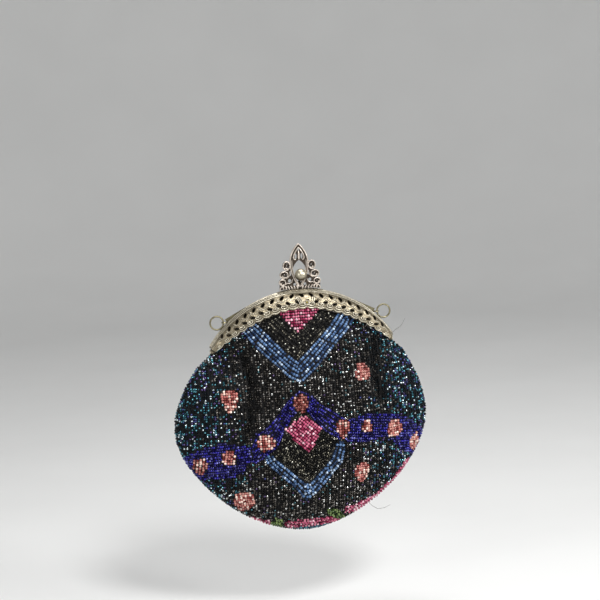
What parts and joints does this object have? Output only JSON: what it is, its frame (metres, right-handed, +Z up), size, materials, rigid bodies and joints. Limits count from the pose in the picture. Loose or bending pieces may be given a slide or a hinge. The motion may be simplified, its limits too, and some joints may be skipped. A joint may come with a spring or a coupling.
{
  "type": "beaded handbag",
  "caption": "Round beaded evening bag hanging from an arched, pierced metal frame with a hinged front half, scrolled crest, ball clasp and side chain rings.",
  "frame": {"origin": "midway between the centres of the two chain rings, on the plane where the frame's halves meet", "axes": "+X to the bag's right as seen from the front, +Y to the back, +Z up"},
  "size_m": [0.175, 0.057, 0.2017],
  "materials": {
    "aged_silver": "aged silver plate, warm grey, dark in the recesses",
    "worn_ball": "silver plate polished by handling",
    "brassy_wire": "dulled plated wire",
    "black_beads": "glossy iridescent black glass beads with coloured motifs, sewn on cloth",
    "dark_satin": "dark satin lining",
    "cotton_tape": "matte cotton tape"
  },
  "bodies": {
    "bag": {"back_frame": "aged_silver", "ball_post": "aged_silver", "clasp_ball": "worn_ball", "left_hinge_rivet": "aged_silver", "right_hinge_rivet": "aged_silver", "left_ear": "brassy_wire", "right_ear": "brassy_wire", "back_panel": "black_beads", "front_panel": "black_beads", "back_lining": "dark_satin", "front_lining": "dark_satin", "back_binding": "cotton_tape"},
    "front_half": {"front_frame": "aged_silver", "crest": "aged_silver", "crest_foot": "aged_silver", "front_binding": "cotton_tape", "front_panel_upper": "black_beads", "front_lining_upper": "dark_satin"},
    "left_ring": {"left_ring": "brassy_wire"},
    "right_ring": {"right_ring": "brassy_wire"}
  },
  "joints": [
    {"name": "frame_hinge", "type": "hinge", "parent": "bag", "child": "front_half", "pos_m": [0, 0, -0.0195], "axis": [1, 0, 0], "range_deg": [0, 70], "deforming": ["front_panel_upper", "front_lining_upper"]},
    {"name": "left_ring_swing", "type": "hinge", "parent": "bag", "child": "left_ring", "pos_m": [-0.05545, 0, 0], "axis": [0, 1, 0], "range_deg": [-5, 55]},
    {"name": "right_ring_swing", "type": "hinge", "parent": "bag", "child": "right_ring", "pos_m": [0.05545, 0, 0], "axis": [0, -1, 0], "range_deg": [-5, 55]}
  ]
}
